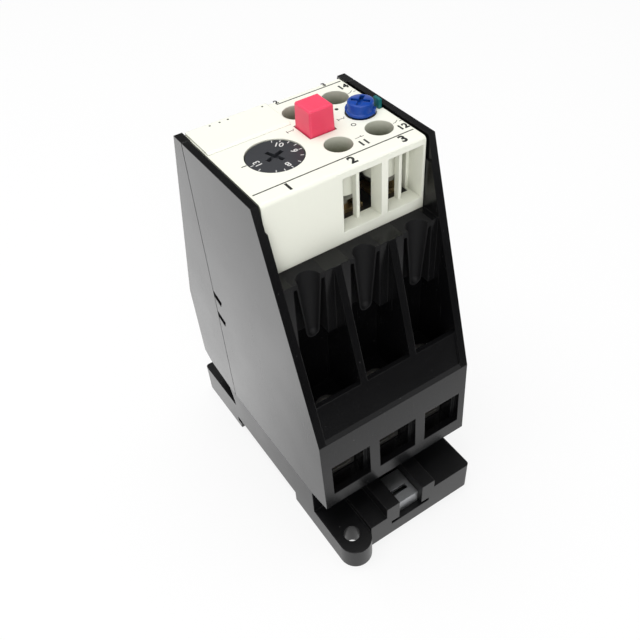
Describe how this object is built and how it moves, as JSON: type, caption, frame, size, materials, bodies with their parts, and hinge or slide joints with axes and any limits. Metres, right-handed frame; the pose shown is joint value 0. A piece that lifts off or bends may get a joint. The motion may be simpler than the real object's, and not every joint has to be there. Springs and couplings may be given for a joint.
{
  "type": "thermal overload relay",
  "caption": "Thermal overload relay on its mounting base, with screw terminals on both ends, a current dial, a test button, a reset knob and a trip indicator.",
  "frame": {"origin": "under the middle of the mounting base, on the mounting surface", "axes": "+X runs across the three poles, -Y faces the load terminals, +Y the line terminals and +Z the operating face"},
  "size_m": [0.05, 0.0932, 0.1176],
  "materials": {
    "housing": "black moulded thermoset, satin",
    "cover": "cream-white moulded plastic, fine satin",
    "base": "black moulded plastic, satin",
    "latch": "zinc-plated sheet steel",
    "spring": "spring steel wire",
    "cage": "zinc-plated steel",
    "screw": "zinc-plated steel screw",
    "busbar": "rolled brass, bright",
    "bimetal": "rolled bimetal strip",
    "heater": "resistance ribbon, oxidised",
    "inner_plastic": "natural moulded plastic",
    "tray": "black moulded plastic",
    "pin": "ground steel",
    "contact": "brass strip with silver rivets",
    "dial": "dark grey moulded plastic",
    "red": "red moulded plastic, smooth",
    "blue": "blue moulded plastic, smooth",
    "plunger": "blue moulded plastic",
    "green": "green moulded plastic"
  },
  "bodies": {
    "relay_body": {"housing_front": "housing", "housing_rear": "housing", "front_cover": "cover", "mounting_base": "base", "latch_spring": "spring", "test_spring": "spring", "reset_spring": "spring", "load_busbar_1": "busbar", "line_busbar_1": "busbar", "bimetal_1": "bimetal", "heater_1": "heater", "load_busbar_2": "busbar", "line_busbar_2": "busbar", "bimetal_2": "bimetal", "heater_2": "heater", "load_busbar_3": "busbar", "line_busbar_3": "busbar", "bimetal_3": "bimetal", "heater_3": "heater", "terminal_tray": "tray", "rocker_pin": "pin", "contact_strip_95": "contact", "contact_strip_96": "contact", "contact_strip_97": "contact", "contact_strip_98": "contact"},
    "latch": {"rail_latch": "latch"},
    "load_cage_1": {"load_cage_1": "cage"},
    "load_screw_1": {"load_screw_1": "screw"},
    "load_cage_2": {"load_cage_2": "cage"},
    "load_screw_2": {"load_screw_2": "screw"},
    "load_cage_3": {"load_cage_3": "cage"},
    "load_screw_3": {"load_screw_3": "screw"},
    "line_cage_1": {"line_cage_1": "cage"},
    "line_screw_1": {"line_screw_1": "screw"},
    "line_cage_2": {"line_cage_2": "cage"},
    "line_screw_2": {"line_screw_2": "screw"},
    "line_cage_3": {"line_cage_3": "cage"},
    "line_screw_3": {"line_screw_3": "screw"},
    "aux_clamp_96": {"aux_saddle_96": "cage", "aux_screw_96": "screw"},
    "aux_clamp_98": {"aux_saddle_98": "cage", "aux_screw_98": "screw"},
    "aux_clamp_95": {"aux_saddle_95": "cage", "aux_screw_95": "screw"},
    "aux_clamp_97": {"aux_saddle_97": "cage", "aux_screw_97": "screw"},
    "trip_bar": {"trip_slide": "inner_plastic"},
    "arm": {"setting_arm": "inner_plastic", "lever_pin": "pin"},
    "lever": {"release_lever": "inner_plastic"},
    "rocker": {"contact_rocker": "inner_plastic", "nc_bridge": "contact", "no_bridge": "contact"},
    "indicator": {"trip_indicator": "green"},
    "dial": {"current_dial": "dial", "dial_cam": "inner_plastic"},
    "test": {"test_button": "red"},
    "reset": {"reset_knob": "blue", "reset_plunger": "plunger"}
  },
  "joints": [
    {"name": "latch_slide", "type": "slide", "parent": "relay_body", "child": "latch", "axis": [0, -1, 0], "range_m": [0, 0.0035], "stiffness_N_per_m": 900, "deforming": ["latch_spring"]},
    {"name": "load_cage_1_lift", "type": "slide", "parent": "relay_body", "child": "load_cage_1", "axis": [0, 0, 1], "range_m": [0, 0.0066]},
    {"name": "load_screw_1_turn", "type": "hinge", "parent": "relay_body", "child": "load_screw_1", "pos_m": [-0.01565, -0.0246, 0.048], "axis": [0, 0, -1], "range_deg": [0, 3394.5]},
    {"name": "load_cage_2_lift", "type": "slide", "parent": "relay_body", "child": "load_cage_2", "axis": [0, 0, 1], "range_m": [0, 0.0066]},
    {"name": "load_screw_2_turn", "type": "hinge", "parent": "relay_body", "child": "load_screw_2", "pos_m": [0.00035, -0.0246, 0.048], "axis": [0, 0, -1], "range_deg": [0, 3394.5]},
    {"name": "load_cage_3_lift", "type": "slide", "parent": "relay_body", "child": "load_cage_3", "axis": [0, 0, 1], "range_m": [0, 0.0066]},
    {"name": "load_screw_3_turn", "type": "hinge", "parent": "relay_body", "child": "load_screw_3", "pos_m": [0.01635, -0.0246, 0.048], "axis": [0, 0, -1], "range_deg": [0, 3394.5]},
    {"name": "line_cage_1_lift", "type": "slide", "parent": "relay_body", "child": "line_cage_1", "axis": [0, 0, 1], "range_m": [0, 0.0066]},
    {"name": "line_screw_1_turn", "type": "hinge", "parent": "relay_body", "child": "line_screw_1", "pos_m": [-0.01565, 0.0308, 0.048], "axis": [0, 0, -1], "range_deg": [0, 3394.5]},
    {"name": "line_cage_2_lift", "type": "slide", "parent": "relay_body", "child": "line_cage_2", "axis": [0, 0, 1], "range_m": [0, 0.0066]},
    {"name": "line_screw_2_turn", "type": "hinge", "parent": "relay_body", "child": "line_screw_2", "pos_m": [0.00035, 0.0308, 0.048], "axis": [0, 0, -1], "range_deg": [0, 3394.5]},
    {"name": "line_cage_3_lift", "type": "slide", "parent": "relay_body", "child": "line_cage_3", "axis": [0, 0, 1], "range_m": [0, 0.0066]},
    {"name": "line_screw_3_turn", "type": "hinge", "parent": "relay_body", "child": "line_screw_3", "pos_m": [0.01635, 0.0308, 0.048], "axis": [0, 0, -1], "range_deg": [0, 3394.5]},
    {"name": "aux_clamp_96_press", "type": "slide", "parent": "relay_body", "child": "aux_clamp_96", "axis": [0, 0, -1], "range_m": [0, 0.002]},
    {"name": "aux_clamp_98_press", "type": "slide", "parent": "relay_body", "child": "aux_clamp_98", "axis": [0, 0, -1], "range_m": [0, 0.002]},
    {"name": "aux_clamp_95_press", "type": "slide", "parent": "relay_body", "child": "aux_clamp_95", "axis": [0, 0, -1], "range_m": [0, 0.002]},
    {"name": "aux_clamp_97_press", "type": "slide", "parent": "relay_body", "child": "aux_clamp_97", "axis": [0, 0, -1], "range_m": [0, 0.002]},
    {"name": "trip_travel", "type": "slide", "parent": "relay_body", "child": "trip_bar", "axis": [-1, 0, 0], "range_m": [0, 0.0012]},
    {"name": "arm_travel", "type": "slide", "parent": "relay_body", "child": "arm", "axis": [-1, 0, 0], "range_m": [0, 0.0012]},
    {"name": "lever_tilt", "type": "hinge", "parent": "arm", "child": "lever", "pos_m": [-0.016, 0.005, 0.092], "axis": [0, 1, 0], "range_deg": [0, 6.51]},
    {"name": "rocker_tilt", "type": "hinge", "parent": "relay_body", "child": "rocker", "pos_m": [0.0103, 0.005, 0.0855], "axis": [0, -1, 0], "range_deg": [0, 7.81]},
    {"name": "indicator_rise", "type": "slide", "parent": "relay_body", "child": "indicator", "axis": [0, 0, 1], "range_m": [0, 0.00146]},
    {"name": "dial_turn", "type": "hinge", "parent": "relay_body", "child": "dial", "pos_m": [-0.0098, 0.0009, 0.11], "axis": [0, 0, -1], "range_deg": [0, 240.1]},
    {"name": "test_press", "type": "slide", "parent": "relay_body", "child": "test", "axis": [0, 0, -1], "range_m": [0, 0.0025], "stiffness_N_per_m": 350, "deforming": ["test_spring"]},
    {"name": "reset_press", "type": "slide", "parent": "relay_body", "child": "reset", "axis": [0, 0, -1], "range_m": [0, 0.0025], "stiffness_N_per_m": 350, "deforming": ["reset_spring"]}
  ],
  "couplings": [
    {"joint": "load_screw_1_turn", "follows": "load_cage_1_lift", "rad_per_m": 8976},
    {"joint": "load_screw_2_turn", "follows": "load_cage_2_lift", "rad_per_m": 8976},
    {"joint": "load_screw_3_turn", "follows": "load_cage_3_lift", "rad_per_m": 8976},
    {"joint": "line_screw_1_turn", "follows": "line_cage_1_lift", "rad_per_m": 8976},
    {"joint": "line_screw_2_turn", "follows": "line_cage_2_lift", "rad_per_m": 8976},
    {"joint": "line_screw_3_turn", "follows": "line_cage_3_lift", "rad_per_m": 8976},
    {"joint": "lever_tilt", "follows": "trip_travel", "rad_per_m": 94.539},
    {"joint": "rocker_tilt", "follows": "trip_travel", "rad_per_m": 113.45},
    {"joint": "indicator_rise", "follows": "trip_travel", "ratio": 1.2083},
    {"joint": "dial_turn", "follows": "arm_travel", "rad_per_m": 3490.7}
  ]
}
